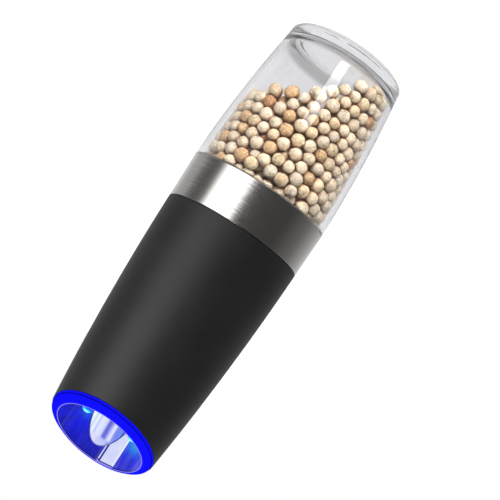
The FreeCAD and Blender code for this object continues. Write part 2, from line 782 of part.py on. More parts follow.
# ---- end cover and nose ----------------------------------------------------------
def nose_solid(inset):
    """Bullet-shaped nose, drawn in by inset."""
    radius = NOSE_R - inset
    tip_z = NOSE_TIP_Z - inset
    base_z = NOSE_TIP_Z - NOSE_ROUND
    ellipse = Part.Ellipse(point(0, tip_z), point(radius, base_z), point(0, base_z))
    quarter = ellipse.toShape(0, math.pi / 2)
    flat = lines([(radius, base_z), (radius, COVER_Z), (0, COVER_Z), (0, tip_z)])
    return revolve([quarter] + flat)


def leaf_prism():
    """Bar along Y whose section is the nose's leaf-shaped flute."""
    middle_z = sum(FLUTE_Z) / 2
    low, high = [point(FLUTE_X[0], z) for z in FLUTE_Z]
    low.x = high.x = sum(FLUTE_X) / 2
    sides = [Part.Arc(low, point(x, middle_z), high).toShape() for x in FLUTE_X]
    return Part.Face(Part.Wire(sides)).extrude(Vector(0, -NOSE_R - 1, 0))


def end_cover():
    """Cap of the core: the nose, two LED posts and the powder windows."""
    top_z = COVER_Z + 2.5
    nose_wall = 1.4
    post_z = 181.0
    boss_y = 11.5
    boss_r = 1.3
    disc = cylinder(COVER_R, COVER_Z, top_z)
    skirt = tube(COVER_R, COVER_R - 1.4, BAY_TOP_Z + CARRIER_PLATE + 2 * GAP, COVER_Z)
    posts = [cylinder(LED_R + 0.8, COVER_Z, post_z, x, LED_Y) for x in (-LED_X, LED_X)]
    cover = fuse([disc, skirt, nose_solid(0)] + posts)
    flute = nose_solid(-2 * GAP).cut(nose_solid(FLUTE_DEPTH)).common(leaf_prism())
    bores = [cylinder(LED_R + GAP, COVER_Z, post_z + 1, x, LED_Y) for x in (-LED_X, LED_X)]
    window_x = (-CHUTE_X + 0.4, CHUTE_X - 0.4)
    windows = around(block(window_x, (CHUTE_Y[0] + 0.4, COVER_R + 1), (COVER_Z, top_z)), 2)
    bosses = around(cylinder(boss_r, COVER_Z, top_z, 0, boss_y), 2)
    notch_x = (-CHUTE_X - 0.2, CHUTE_X + 0.2)
    notches = around(block(notch_x, (CHUTE_Y[0], COVER_R + 1), (BAY_TOP_Z, COVER_Z)), 2)
    return cover.cut([flute, nose_solid(nose_wall)] + bores + windows + notches + bosses)


def cover_screws():
    """Screws that hold the end cover's board to the battery carrier."""
    one = screw(0.85, 1.8, BAY_TOP_Z + 0.2, BOARD_Z + BOARD_THICK + 0.02, 0, COVER_SCREW_ORBIT)
    return Part.makeCompound(around(one, 2))


# ---- shell, light ring and liner -------------------------------------------------
def shell():
    """Soft-touch outer shell, tapered, with its end cut on the slant."""
    whole = body_of_shell(0).cut(body_of_shell(SHELL_WALL))
    return whole.common(below_slant(CUT_Z))


def light_ring():
    """Translucent ring on the slanted end, with a rounded outer edge."""
    tail_length = 4
    rim = body_of_shell(RIM_STEP).common(below_slant(CUT_Z + RIM_HEIGHT))
    rim = rim.cut(below_slant(CUT_Z + 0.15))
    edge = max(rim.Edges, key=lambda e: (round(e.CenterOfMass.z, 1), e.Length))
    rim = rim.makeFillet(RIM_ROUND, [edge])
    tail = body_of_shell(SHELL_WALL + 2 * GAP).common(below_slant(CUT_Z + 0.2))
    tail = tail.cut(below_slant(CUT_Z - tail_length))
    return rim.fuse(tail).cut(cylinder(LINER_R + LINER_WALL + GAP, CUT_Z - 40, SHELL_END_Z))


def outlet_liner():
    """Glossy sleeve inside the outlet, with a raised pad and a rib on its tall side."""
    outer_r = LINER_R + LINER_WALL
    root_r = LINER_R + 0.6
    rib_half = 0.5
    z = (LINER_Z, SHELL_END_Z)
    flange = tube(outer_r + 2.3, LINER_R, LINER_Z, LINER_Z + 1.2)
    sleeve = tube(outer_r, LINER_R, *z)
    pad = turned(block((-PAD_HALF, PAD_HALF), (LINER_R - 1.1, root_r), z), PAD_ANGLE)
    rib = turned(block((-rib_half, rib_half), (LINER_R - 2.0, root_r), z), RIB_ANGLE)
    return fuse([flange, sleeve, pad, rib]).common(below_slant(CUT_Z + RIM_HEIGHT - 2 * GAP))


# ---- all nodes -------------------------------------------------------------------
def build():
    """Every node by name."""
    nodes = {
        "jar": jar(),
        "jar_seal": jar_seal(),
        "steel_band": steel_band(),
        "thread_collar": thread_collar(),
        "grinder_base": grinder_base(),
        "burr_housing": burr_housing(),
        "burr_screws": burr_screws(),
        "burr_stator": burr_stator(),
        "burr_rotor": burr_rotor(),
        "burr_spring": burr_spring(),
        "adjust_knob": adjust_knob(),
        "output_shaft": output_shaft(),
        "shaft_bush": shaft_bush(),
        "gear_housing": gear_housing(),
        "output_carrier": output_carrier(),
        "output_pins": planet_pins("output"),
        "first_carrier": first_carrier(),
        "first_pins": planet_pins("first"),
        "motor_pinion": motor_pinion(),
        "motor_plate": motor_plate(),
        "motor_screws": motor_screws(),
        "motor_can": motor_can(),
        "motor_magnets": motor_magnets(),
        "motor_armature": motor_armature(),
        "motor_shaft": motor_shaft(),
        "motor_end_cap": motor_end_cap(),
        "battery_carrier": battery_carrier(),
        "contact_springs": contact_springs(),
        "contact_plates": contact_plates(),
        "powder_chutes": powder_chutes(),
        "circuit_board": circuit_board(),
        "board_parts": board_parts(),
        "tilt_switch": tilt_switch(),
        "tilt_ball": tilt_ball(),
        "leds": leds(),
        "led_legs": led_legs(),
        "end_cover": end_cover(),
        "cover_screws": cover_screws(),
        "shell": shell(),
        "light_ring": light_ring(),
        "outlet_liner": outlet_liner(),
    }
    for stage in STAGE_Z:
        for index in range(PLANET_COUNT):
            nodes[f"{stage}_planet_{index + 1}"] = planet(stage, index)
    one_cell = cell()
    for index, place in enumerate(cell_places()):
        nodes[f"battery_{index + 1}"] = placed_in_bay(one_cell, place)
    return nodes


os.makedirs("parts", exist_ok=True)
for name, shape in build().items():
    shape.exportStep(f"parts/{name}.step")
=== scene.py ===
"""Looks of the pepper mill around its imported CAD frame. Metres, +Z up, foot of the jar at z = 0."""
import bmesh
import bpy
import math
import numpy as np
from mathutils import Matrix, Vector, noise


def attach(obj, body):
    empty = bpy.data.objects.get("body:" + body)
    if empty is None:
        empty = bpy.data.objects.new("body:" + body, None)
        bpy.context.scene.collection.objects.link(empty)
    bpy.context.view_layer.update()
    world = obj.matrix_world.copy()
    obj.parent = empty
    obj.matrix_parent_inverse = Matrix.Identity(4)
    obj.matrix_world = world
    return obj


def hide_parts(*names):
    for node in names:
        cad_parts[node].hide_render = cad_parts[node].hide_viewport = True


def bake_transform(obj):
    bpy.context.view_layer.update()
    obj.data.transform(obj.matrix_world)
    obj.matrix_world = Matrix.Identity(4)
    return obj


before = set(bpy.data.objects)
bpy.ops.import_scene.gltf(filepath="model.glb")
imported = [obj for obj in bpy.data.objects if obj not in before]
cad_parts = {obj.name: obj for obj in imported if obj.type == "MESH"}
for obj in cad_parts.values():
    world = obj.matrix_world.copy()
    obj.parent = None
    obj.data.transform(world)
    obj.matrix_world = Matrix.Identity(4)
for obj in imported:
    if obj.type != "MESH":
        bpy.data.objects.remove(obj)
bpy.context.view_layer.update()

MM = 0.001

# ---- camera, on the side of the slant's low edge and turned upside down ------------
CAMERA_PLACE = Vector((-63.3, -533.3, 172.3)) * MM
CAMERA_AIM = Vector((-9.6, 1.0, 92.8)) * MM
CAMERA_ROLL = math.radians(146.9)
CAMERA_LENS = 92.8
VIEW_AZIMUTH = math.atan2(CAMERA_PLACE.y, CAMERA_PLACE.x)

# ---- the CAD model's driving sizes that the materials and the filling follow -------
CUT_Z = 189.9 * MM
CUT_SLOPE = math.tan(math.radians(24.3))
LINER_R = 20.4 * MM
PAD_EDGE = math.radians(27.6)
RIB_EDGES = [math.radians(angle) for angle in (5.2, 8.4)]
NOSE_R = 9.0
POST_X = 8.6 * MM
LED_GLOW_Z = (183.8 * MM, 187.6 * MM)
CELL_MIDDLE = 126.75 * MM
CELL_BAND = (0.0120, 0.0121)
CELL_ENDS = (0.0223, 0.0224)
JAR_FLOOR = 4.5 * MM
JAR_FLOOR_R = 18.9 * MM
JAR_CORNER = 6.5 * MM
JAR_ROOF = 73.2 * MM
JAR_ROOF_BEND = 3.0 * MM
JAR_WALL = 2.2 * MM
HEEL_Z, HEEL_R = 3.0 * MM, 27.1 * MM
SHOULDER_Z, SHOULDER_R = 71.9 * MM, 32.0 * MM
BULGE = 1.13 * MM
NECK_BORE_R = 24.4 * MM
NECK_TOP = 82.0 * MM
CUP_R = 16.5 * MM
CUP_Z = 72.4 * MM
KNOB_R = 8.5 * MM
KNOB_Z = 62.0 * MM

# ---- light that the LEDs throw on the liner ----------------------------------------
GLOW_PLACES = [Vector((-12.6, 5.0, 187.0)) * MM, Vector((11.4, 3.0, 186.4)) * MM]
GLOW_CORES = [3.4 * MM, 2.4 * MM]
GLOW_REACH = 12.5 * MM

# ---- filling -----------------------------------------------------------------------
SEED = 7
CORN_COUNT = 1020
CORN_R = (2.55 * MM, 3.2 * MM)
CORN_SHAPES = 8
CORN_DETAIL = 3
CORN_CLEARANCE = 0.3 * MM
# reach of the painted shade in the gaps between peppercorns
CORN_GAP_DEPTH = 4 * MM
HEAP_TILT = math.radians(5)
SEEN_DEPTH = 11 * MM
SEEN_DEPTH_ON_TOP = 16 * MM
SPAWN_R = 0.024
SPAWN_Z = (0.008, 0.072)
SETTLE_STEPS = 420
PUSHES_PER_STEP = 3
STEPS_PER_SEARCH = 6
FALL_FIRST, FALL_LAST = 0.55 * MM, 0.03 * MM

# ---- burr spring -------------------------------------------------------------------
COIL_R = 4.1 * MM
COIL_WIRE = 0.45 * MM
COIL_TURNS = 3.5
COIL_FOOT = 78.65 * MM
COIL_TOP = 84.3 * MM
COIL_STEPS = 112
COIL_SIDES = 8

# ---- studio ------------------------------------------------------------------------
SOFTBOX = 2.7
SOFTBOX_DROP = -2.45
WALL_LIGHT = 0.84
AMBIENT = 0.33
FLOOR_REACH = 6.0
JAR_MIDDLE = (0.0, 0.0, 0.05)


# ====================================================================================
# Node helpers
# ====================================================================================
class Nodes:
    """Builds one node tree with short calls."""

    def __init__(self, tree):
        self.tree = tree

    def add(self, kind, inputs=None, **settings):
        node = self.tree.nodes.new(kind)
        for key, value in settings.items():
            setattr(node, key, value)
        for key, value in (inputs or {}).items():
            self.put(node.inputs[key], value)
        return node

    def put(self, socket, value):
        if isinstance(value, bpy.types.NodeSocket):
            self.tree.links.new(value, socket)
        else:
            socket.default_value = value

    def math(self, operation, a, b=0.0, c=0.0):
        node = self.add("ShaderNodeMath", {0: a, 1: b, 2: c}, operation=operation)
        return node.outputs[0]

    def vector(self, operation, a, b=(0, 0, 0), scale=1.0):
        node = self.add("ShaderNodeVectorMath", {0: a, 1: b}, operation=operation)
        if operation == "SCALE":
            self.put(node.inputs["Scale"], scale)
        return node.outputs["Value" if operation == "LENGTH" else "Vector"]

    def place(self):
        return self.add("ShaderNodeTexCoord").outputs["Object"]

    def split(self, vector):
        return self.add("ShaderNodeSeparateXYZ", {0: vector}).outputs

    def curve(self, value, stops):
        """Grey value over stops, with no upper limit."""
        peak = max(level for _, level in stops)
        colour = self.ramp(value, [(at, grey(level / peak)) for at, level in stops])
        return self.math("MULTIPLY", colour, peak)

    def noise(self, vector, scale, detail=3.0, roughness=0.5):
        inputs = {"Vector": vector, "Scale": scale, "Detail": detail, "Roughness": roughness}
        return self.add("ShaderNodeTexNoise", inputs).outputs["Fac"]

    def ramp(self, value, stops):
        node = self.add("ShaderNodeValToRGB", {"Fac": value})
        ramp = node.color_ramp
        while len(ramp.elements) < len(stops):
            ramp.elements.new(1.0)
        for element, (position, colour) in zip(ramp.elements, stops):
            element.position = position
            element.color = colour if len(colour) == 4 else (*colour, 1.0)
        return node.outputs["Color"]

    def mix(self, factor, a, b, blend="MIX"):
        node = self.add("ShaderNodeMix", data_type="RGBA", blend_type=blend)
        for socket, value in ((node.inputs[0], factor), (node.inputs[6], a), (node.inputs[7], b)):
            self.put(socket, value)
        return node.outputs[2]

    def between(self, value, low, high):
        """0 below low, 1 above high."""
        node = self.add("ShaderNodeMapRange", {"Value": value, "From Min": low, "From Max": high},
                        interpolation_type="SMOOTHSTEP")
        return node.outputs["Result"]

    def bump(self, height, strength, distance):
        inputs = {"Height": height, "Strength": strength, "Distance": distance}
        return self.add("ShaderNodeBump", inputs).outputs["Normal"]


def material(name):
    """New material, its nodes and its Principled shader."""
    mat = bpy.data.materials.new(name)
    mat.use_nodes = True
    nodes = Nodes(mat.node_tree)
    shader = mat.node_tree.nodes["Principled BSDF"]
    return mat, nodes, shader


def grey(value):
    return (value, value, value, 1.0)


def srgb(red, green, blue):
    """Linear colour from 8-bit sRGB values."""
    return tuple((v / 255 / 12.92 if v < 11 else ((v / 255 + 0.055) / 1.055) ** 2.4)
                 for v in (red, green, blue))


def dress(mat, *names):
    """Gives CAD nodes a material."""
    for name in names:
        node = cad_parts[name]
        if not node.data.materials:
            node.data.materials.append(mat)
        for slot in node.material_slots:
            slot.material = mat


# ====================================================================================
# Materials
# ====================================================================================
def soft_touch():
    """Charcoal rubber-like coating with a very fine grain."""
    mat, n, s = material("soft_touch_black")
    place = n.place()
    cloud = n.noise(place, 45.0, 2.0)
    grain = n.noise(place, 5200.0, 2.0)
    n.put(s.inputs["Base Color"], n.ramp(cloud, [
        (0.3, (0.0105, 0.010, 0.011)), (0.7, (0.0145, 0.014, 0.015))]))
    n.put(s.inputs["Roughness"], n.math("MULTIPLY_ADD", grain, 0.12, 0.46))
    n.put(s.inputs["Normal"], n.bump(grain, 0.25, 0.00003))
    s.inputs["Specular IOR Level"].default_value = 0.52
    return mat


def brushed_steel():
    """Steel brushed round the band: every brush line turns the reflection a little."""
    mat, n, s = material("brushed_band_steel")
    place = n.place()
    lines_place = n.vector("MULTIPLY", place, (70.0, 70.0, 9000.0))
    line = n.noise(lines_place, 1.0, 4.0, 0.65)
    normal = n.add("ShaderNodeNewGeometry").outputs["Normal"]
    around = n.vector("CROSS_PRODUCT", (0.0, 0.0, 1.0), normal)
    swing = n.math("MULTIPLY", n.math("SUBTRACT", line, 0.5), 0.34)
    turned = n.vector("ADD", normal, n.vector("SCALE", around, scale=swing))
    n.put(s.inputs["Normal"], n.vector("NORMALIZE", turned))
    n.put(s.inputs["Base Color"], n.ramp(line, [
        (0.3, (0.60, 0.575, 0.555)), (0.7, (0.74, 0.72, 0.70))]))
    n.put(s.inputs["Roughness"], n.math("MULTIPLY_ADD", line, 0.14, 0.14))
    s.inputs["Metallic"].default_value = 1.0
    return mat


def clear_acrylic():
    """Clear moulded jar."""
    mat, n, s = material("clear_jar")
    place = n.place()
    ripple = n.noise(place, 38.0, 1.0)
    n.put(s.inputs["Normal"], n.bump(ripple, 0.08, 0.0008))
    s.inputs["Base Color"].default_value = (0.985, 0.988, 0.99, 1.0)
    s.inputs["Roughness"].default_value = 0.0
    s.inputs["Transmission Weight"].default_value = 1.0
    s.inputs["IOR"].default_value = 1.49
    s.inputs["Sheen Weight"].default_value = 0.22
    s.inputs["Sheen Roughness"].default_value = 0.45
    lamps = n.add("ShaderNodeLightPath").outputs["Is Shadow Ray"]
    clear = n.add("ShaderNodeBsdfTransparent", {"Color": (0.96, 0.96, 0.97, 1.0)}).outputs[0]
    both = n.add("ShaderNodeMixShader", {0: lamps, 1: s.outputs[0], 2: clear}).outputs[0]
    n.put(mat.node_tree.nodes["Material Output"].inputs["Surface"], both)
    return mat


def above_cut(n, place):
    """Height above the slanted cut, in millimetres, and the x and y sockets."""
    x, y, z = n.split(place)
    slope = n.math("MULTIPLY_ADD", y, CUT_SLOPE, CUT_Z)
    return n.math("MULTIPLY", n.math("SUBTRACT", z, slope), 1000.0), x, y


def led_fans(n, place):
    """Light fanning from the LEDs: a wide, streaky glow and a bright core."""
    wide = heart = None
    for led, core in zip(GLOW_PLACES, GLOW_CORES):
        away = n.vector("SUBTRACT", place, tuple(led))
        x, _, z = n.split(away)
        fan = n.math("MULTIPLY", n.math("ARCTAN2", z, x), 5.0)
        fan_place = n.add("ShaderNodeCombineXYZ", {0: fan, 1: led.x * 100.0}).outputs[0]
        streak = n.noise(fan_place, 1.6, 2.0, 0.6)
        streak = n.between(streak, 0.38, 0.62)
        flat = n.vector("LENGTH", n.vector("MULTIPLY", away, (1.0, 0.25, 1.0)))
        fades = []
        for size in (GLOW_REACH, core):
            fade = n.math("DIVIDE", flat, size)
            square = n.math("MULTIPLY", fade, fade)
            fades.append(n.math("POWER", math.e, n.math("MULTIPLY", square, -1.0)))
        glow = n.math("MULTIPLY", fades[0], n.math("MULTIPLY_ADD", streak, 0.8, 0.2))
        spark = n.math("MULTIPLY", fades[1], n.math("MULTIPLY_ADD", streak, 0.5, 0.5))
        wide = glow if wide is None else n.math("MAXIMUM", wide, glow)
        heart = spark if heart is None else n.math("MAXIMUM", heart, spark)
    return wide, heart


def light_ring():
    """Translucent ring, lit blue from inside, with a line of painted shade near its outer edge, where
    a groove's shadow would fall, and darker towards its lowest edge.
    """
    mat, n, s = material("lit_blue_ring")
    place = n.place()
    height, _, _ = above_cut(n, place)
    # painted shade: the glow drops to a dark line standing in for a groove's shadow, and is lower at
    # the lowest edge
    painted_shade_profile = n.curve(n.math("DIVIDE", height, 3.0), [
        (0.0, 0.2), (0.08, 1.0), (0.33, 0.92), (0.375, 0.22), (0.46, 0.22), (0.50, 0.95),
        (1.0, 1.0)])
    cloud = n.math("MULTIPLY_ADD", n.noise(place, 60.0, 2.0), 0.12, 0.94)
    n.put(s.inputs["Emission Strength"], n.math("MULTIPLY", painted_shade_profile, cloud))
    s.inputs["Emission Color"].default_value = (*srgb(17, 17, 255), 1.0)
    s.inputs["Base Color"].default_value = (0.0, 0.0, 0.02, 1.0)
    s.inputs["Roughness"].default_value = 0.4
    s.inputs["Specular IOR Level"].default_value = 0.0
    return mat


def outlet_liner():
    """Glossy sleeve whose colour is all emitted, with its light and shade painted in: navy in painted
    shade, painted bright blue and cyan light by the LEDs, a pale lip, pad and rib, painted shade
    lines at the rib's edges and under the lip, and a painted highlight along the pad's edge.
    """
    mat, n, s = material("lit_liner")
    place = n.place()
    height, x, y = above_cut(n, place)
    radius = n.vector("LENGTH", n.vector("MULTIPLY", place, (1.0, 1.0, 0.0)))
    across = n.math("DIVIDE", x, LINER_R)
    cloud = n.noise(n.vector("MULTIPLY", place, (1.0, 1.0, 0.3)), 170.0, 4.0, 0.6)
    # painted shade: the navy the wall glows with where the LEDs' light doesn't reach
    navy = n.ramp(cloud, [
        (0.36, srgb(20, 20, 118)), (0.5, srgb(30, 31, 158)), (0.66, srgb(46, 50, 186))])
    # painted light: the wall is lighter towards -x
    painted_lit_wall = n.ramp(cloud, [(0.38, srgb(40, 42, 180)), (0.62, srgb(98, 102, 224))])
    wall = n.mix(n.between(across, -0.42, -0.55), navy, painted_lit_wall)
    wide, heart = led_fans(n, place)
    # painted LED light: a wide blue glow and a cyan core on the wall
    wall = n.mix(wide, wall, (*srgb(26, 34, 246), 1.0))
    wall = n.mix(heart, wall, (*srgb(60, 235, 255), 1.0))
    raised = n.math("LESS_THAN", radius, LINER_R - 0.12 * MM)
    pale = n.ramp(n.noise(place, 90.0, 2.0), [
        (0.3, srgb(188, 195, 248)), (0.7, srgb(224, 231, 253))])
    # painted LED light: the pad turns cyan near the LEDs
    pale = n.mix(n.math("MULTIPLY", heart, 0.8), pale, (*srgb(150, 240, 255), 1.0))
    turn = n.math("ARCTAN2", n.math("MULTIPLY", x, -1.0), y)
    off = n.math("ABSOLUTE", n.math("SUBTRACT", turn, PAD_EDGE))
    # painted highlight: a near-white line along the pad's edge
    pale = n.mix(n.between(off, 0.020, 0.012), pale, (*srgb(240, 248, 255), 1.0))
    # painted shade: dark lines along both edges of the rib
    for edge in RIB_EDGES:
        off = n.math("ABSOLUTE", n.math("SUBTRACT", turn, edge))
        pale = n.mix(n.between(off, 0.016, 0.010), pale, (*srgb(24, 24, 150), 1.0))
    colour = n.mix(raised, wall, pale)
    # painted shade: a dark band just under the lip
    colour = n.mix(n.between(height, 1.75, 2.1), colour, (*srgb(24, 22, 120), 1.0))
    lip = n.mix(n.between(radius, LINER_R + 0.30 * MM, LINER_R + 0.38 * MM),
                (*srgb(158, 150, 246), 1.0), (*srgb(17, 17, 255), 1.0))
    colour = n.mix(n.between(height, 2.42, 2.46), colour, lip)
    n.put(s.inputs["Emission Color"], colour)
    s.inputs["Base Color"].default_value = (0.004, 0.004, 0.03, 1.0)
    s.inputs["Emission Strength"].default_value = 0.92
    s.inputs["Roughness"].default_value = 0.12
    n.put(s.inputs["Specular IOR Level"], n.math("MULTIPLY", n.between(height, 2.40, 2.30), 0.22))
    return mat


def nose_white():
    """Pale glossy nose, glowing lavender with its light and shade painted in: bands of painted light
    down its front, a flank and flute darker with painted shade, and painted shade along its outline.

    The whole end cover wears it. Only what lies further out than the posts is blue instead."""
    mat, n, s = material("lit_nose")
    place = n.place()
    x, _, z = n.split(place)
    across = n.math("DIVIDE", n.math("ADD", x, NOSE_R * MM), 2 * NOSE_R * MM)

    def bands(*stops):
        """Painted light and shade, as colours over x given in millimetres."""
        return n.ramp(across, [((at + NOSE_R) / (2 * NOSE_R), srgb(*colour))
                               for at, colour in stops])

    # painted light and shade across the nose's lower part: bright bands, a darker flank and the
    # flute's shade
    flute = bands(
        (-7.6, (25, 30, 205)), (-6.8, (90, 150, 240)), (-6.2, (85, 108, 240)),
        (-4.9, (130, 140, 240)), (-4.3, (230, 238, 255)), (-3.3, (200, 206, 251)),
        (-2.4, (116, 122, 236)), (-1.6, (72, 76, 202)), (-0.9, (112, 114, 228)),
        (-0.4, (204, 211, 249)), (1.5, (222, 228, 255)), (2.3, (216, 226, 252)),
        (2.8, (172, 192, 251)), (3.4, (226, 234, 253)), (4.4, (240, 247, 254)),
        (4.9, (178, 208, 248)), (5.6, (238, 250, 253)))
    # painted light and shade across the nose's tip
    tip = bands(
        (-6.6, (60, 66, 215)), (-5.6, (122, 132, 236)), (-3.9, (140, 146, 236)),
        (-3.3, (188, 194, 250)), (0.4, (196, 200, 250)), (1.2, (220, 220, 248)))
    body = n.mix(n.between(z, 190.6 * MM, 192.2 * MM), flute, tip)
    streak = n.noise(n.vector("MULTIPLY", place, (1200.0, 1200.0, 60.0)), 1.0, 2.0)
    body = n.mix(n.math("MULTIPLY", streak, 0.16), body, (*srgb(235, 238, 255), 1.0))
    # painted shade: dark along the outline, where the surface turns away
    facing = n.add("ShaderNodeLayerWeight", {"Blend": 0.5}).outputs["Facing"]
    painted_edge_shade = n.between(facing, 0.56, 0.72)
    body = n.mix(painted_edge_shade, body, (*srgb(24, 26, 120), 1.0))
    post = n.math("GREATER_THAN", n.math("ABSOLUTE", x), POST_X)
    body = n.mix(post, body, (*srgb(30, 60, 235), 1.0))
    n.put(s.inputs["Emission Color"], body)
    s.inputs["Base Color"].default_value = (0.03, 0.03, 0.06, 1.0)
    s.inputs["Emission Strength"].default_value = 0.95
    s.inputs["Roughness"].default_value = 0.15
    s.inputs["Specular IOR Level"].default_value = 0.15
    return mat


def led_lens():
    """Clear LED, lit cyan at its tip."""
    mat, n, s = material("lit_led")
    place = n.place()
    z = n.split(place)[2]
    rays = n.noise(n.vector("MULTIPLY", place, (1.0, 1.0, 0.2)), 900.0, 2.0)
    level = n.math("MULTIPLY_ADD", rays, 0.002, z)
    colour = n.ramp(n.between(level, *LED_GLOW_Z), [
        (0.0, srgb(26, 40, 235)), (0.6, srgb(30, 80, 248)), (0.8, srgb(40, 215, 255)),
        (1.0, srgb(150, 250, 255))])
    n.put(s.inputs["Emission Color"], colour)
    s.inputs["Emission Strength"].default_value = 1.1
    s.inputs["Base Color"].default_value = (0.0, 0.05, 0.1, 1.0)
    s.inputs["Roughness"].default_value = 0.1
    s.inputs["Specular IOR Level"].default_value = 0.2
    return mat


def moulded(name, dark, light, roughness=0.45, grain=0.25, scale=1500.0):
    """Moulded plastic or fired ceramic with a fine grain."""
    mat, n, s = material(name)
    place = n.place()
    cloud = n.noise(place, 90.0, 3.0)
    fine = n.noise(place, scale, 3.0)
    n.put(s.inputs["Base Color"], n.ramp(cloud, [(0.3, dark), (0.7, light)]))
    n.put(s.inputs["Roughness"], n.math("MULTIPLY_ADD", fine, 0.15, roughness - 0.07))
    n.put(s.inputs["Normal"], n.bump(fine, grain, 0.00006))
    return mat


def metal(name, dark, light, roughness=0.25, lines=(1.0, 1.0, 1.0)):
    """Machined or rolled metal, with its tool marks along one direction."""
    mat, n, s = material(name)
    place = n.vector("MULTIPLY", n.place(), lines)
    mark = n.noise(place, 1200.0, 4.0, 0.6)
    n.put(s.inputs["Base Color"], n.ramp(mark, [(0.3, dark), (0.7, light)]))
    n.put(s.inputs["Roughness"], n.math("MULTIPLY_ADD", mark, 0.2, roughness - 0.1))
    n.put(s.inputs["Normal"], n.bump(mark, 0.15, 0.00003))
    s.inputs["Metallic"].default_value = 1.0
    return mat


def cell_sleeve():
    """Battery: dark sleeve, a copper-coloured band and bare steel at the ends."""
    mat, n, s = material("cell_sleeve")
    place = n.place()
    z = n.split(place)[2]
    along = n.math("ABSOLUTE", n.math("SUBTRACT", z, CELL_MIDDLE))
    ends = n.between(along, *CELL_ENDS)
    band = n.math("MULTIPLY", n.between(along, *CELL_BAND), n.math("SUBTRACT", 1.0, ends))
    scuff = n.noise(place, 400.0, 3.0)
    dark = n.ramp(scuff, [(0.3, (0.012, 0.014, 0.02)), (0.7, (0.02, 0.022, 0.03))])
    colour = n.mix(band, dark, (0.45, 0.2, 0.06, 1.0))
    n.put(s.inputs["Base Color"], n.mix(ends, colour, (0.6, 0.6, 0.6, 1.0)))
    n.put(s.inputs["Metallic"], ends)
    s.inputs["Roughness"].default_value = 0.25
    return mat


def peppercorn():
    """Wrinkled white peppercorn: each has its own tint, with painted shade in its wrinkles' creases,
    painted light on its ridges, and painted brown shade in the gaps between corns.
    """
    mat, n, s = material("white_peppercorn")
    place = n.place()
    tint = n.add("ShaderNodeVertexColor", layer_name="tint").outputs["Color"]
    patch = n.noise(place, 420.0, 3.0, 0.6)
    wrinkle = n.noise(place, 1100.0, 6.0, 0.65)
    fleck = n.noise(place, 2300.0, 3.0, 0.6)
    colour = n.mix(n.between(patch, 0.50, 0.66), tint, (*srgb(198, 150, 96), 1.0))
    # painted shade in the wrinkles' creases and painted light on their ridges, following the bump
    darker = n.mix(1.0, colour, (*srgb(206, 174, 138), 1.0), "MULTIPLY")
    colour = n.mix(n.between(wrinkle, 0.50, 0.38), colour, darker)
    colour = n.mix(n.between(wrinkle, 0.52, 0.66), colour, (*srgb(230, 218, 198), 1.0))
    colour = n.mix(n.between(fleck, 0.68, 0.76), colour, (*srgb(110, 74, 44), 1.0))
    colour = n.mix(0.5, colour, tint)
    # painted shade: more brown where the occlusion finds neighbours close
    open_sky = n.add("ShaderNodeAmbientOcclusion", {"Distance": CORN_GAP_DEPTH}, samples=8,
                     only_local=True).outputs["AO"]
    painted_gap_shade = n.math("MULTIPLY", n.between(open_sky, 0.75, 0.30), 0.8)
    gap_shade_colour = n.mix(1.0, colour, (*srgb(176, 124, 78), 1.0), "MULTIPLY")
    n.put(s.inputs["Base Color"], n.mix(painted_gap_shade, colour, gap_shade_colour))
    n.put(s.inputs["Normal"], n.bump(wrinkle, 0.6, 0.0006))
    s.inputs["Roughness"].default_value = 0.6
    s.inputs["Specular IOR Level"].default_value = 0.3
    return mat


def dress_frame():
    """Every CAD node gets its material."""
    black = moulded("moulded_black", (0.018, 0.018, 0.019), (0.028, 0.028, 0.03))
    grey_plastic = moulded("moulded_grey", (0.10, 0.105, 0.11), (0.15, 0.155, 0.16))
    white = moulded("moulded_gear", (0.62, 0.61, 0.57), (0.74, 0.73, 0.7))
    ceramic = moulded("fired_ceramic", (0.68, 0.66, 0.6), (0.82, 0.8, 0.75), 0.55, 0.5, 2500.0)
    silicone = moulded("silicone", (0.55, 0.55, 0.54), (0.66, 0.66, 0.65), 0.6)
    board = moulded("solder_mask", (0.008, 0.09, 0.03), (0.012, 0.13, 0.05), 0.3)
    steel = metal("bright_zinc", (0.55, 0.55, 0.54), (0.72, 0.72, 0.7), 0.25, (1.0, 1.0, 6.0))
    nickel = metal("nickel", (0.48, 0.48, 0.47), (0.62, 0.61, 0.6), 0.3, (1.0, 1.0, 8.0))
    bronze = metal("machined_bronze", (0.5, 0.30, 0.12), (0.66, 0.44, 0.2), 0.3, (1.0, 1.0, 8.0))
    magnet = metal("sintered_iron", (0.05, 0.05, 0.055), (0.10, 0.10, 0.105), 0.5)
    dress(soft_touch(), "shell")
    dress(brushed_steel(), "steel_band")
    dress(clear_acrylic(), "jar")
    dress(light_ring(), "light_ring")
    dress(outlet_liner(), "outlet_liner")
    dress(nose_white(), "end_cover")
    dress(led_lens(), "leds")
    dress(black, "thread_collar", "grinder_base", "burr_housing", "battery_carrier", "board_parts")
    dress(grey_plastic, "adjust_knob", "gear_housing", "motor_end_cap", "powder_chutes")
    dress(ceramic, "burr_stator", "burr_rotor")
    dress(silicone, "jar_seal")
    dress(board, "circuit_board")
    dress(steel, "burr_screws", "burr_spring", "output_shaft", "output_carrier", "output_pins",
          "first_pins", "motor_plate", "motor_screws", "motor_shaft", "cover_screws", "tilt_ball")
    dress(nickel, "motor_can", "contact_springs", "contact_plates", "tilt_switch", "led_legs")
    dress(bronze, "shaft_bush", "first_carrier", "motor_pinion")
    dress(magnet, "motor_magnets", "motor_armature")
    dress(white, *[f"{stage}_planet_{i}" for stage in ("first", "output") for i in (1, 2, 3)])
    dress(cell_sleeve(), *[f"battery_{i}" for i in range(1, 7)])


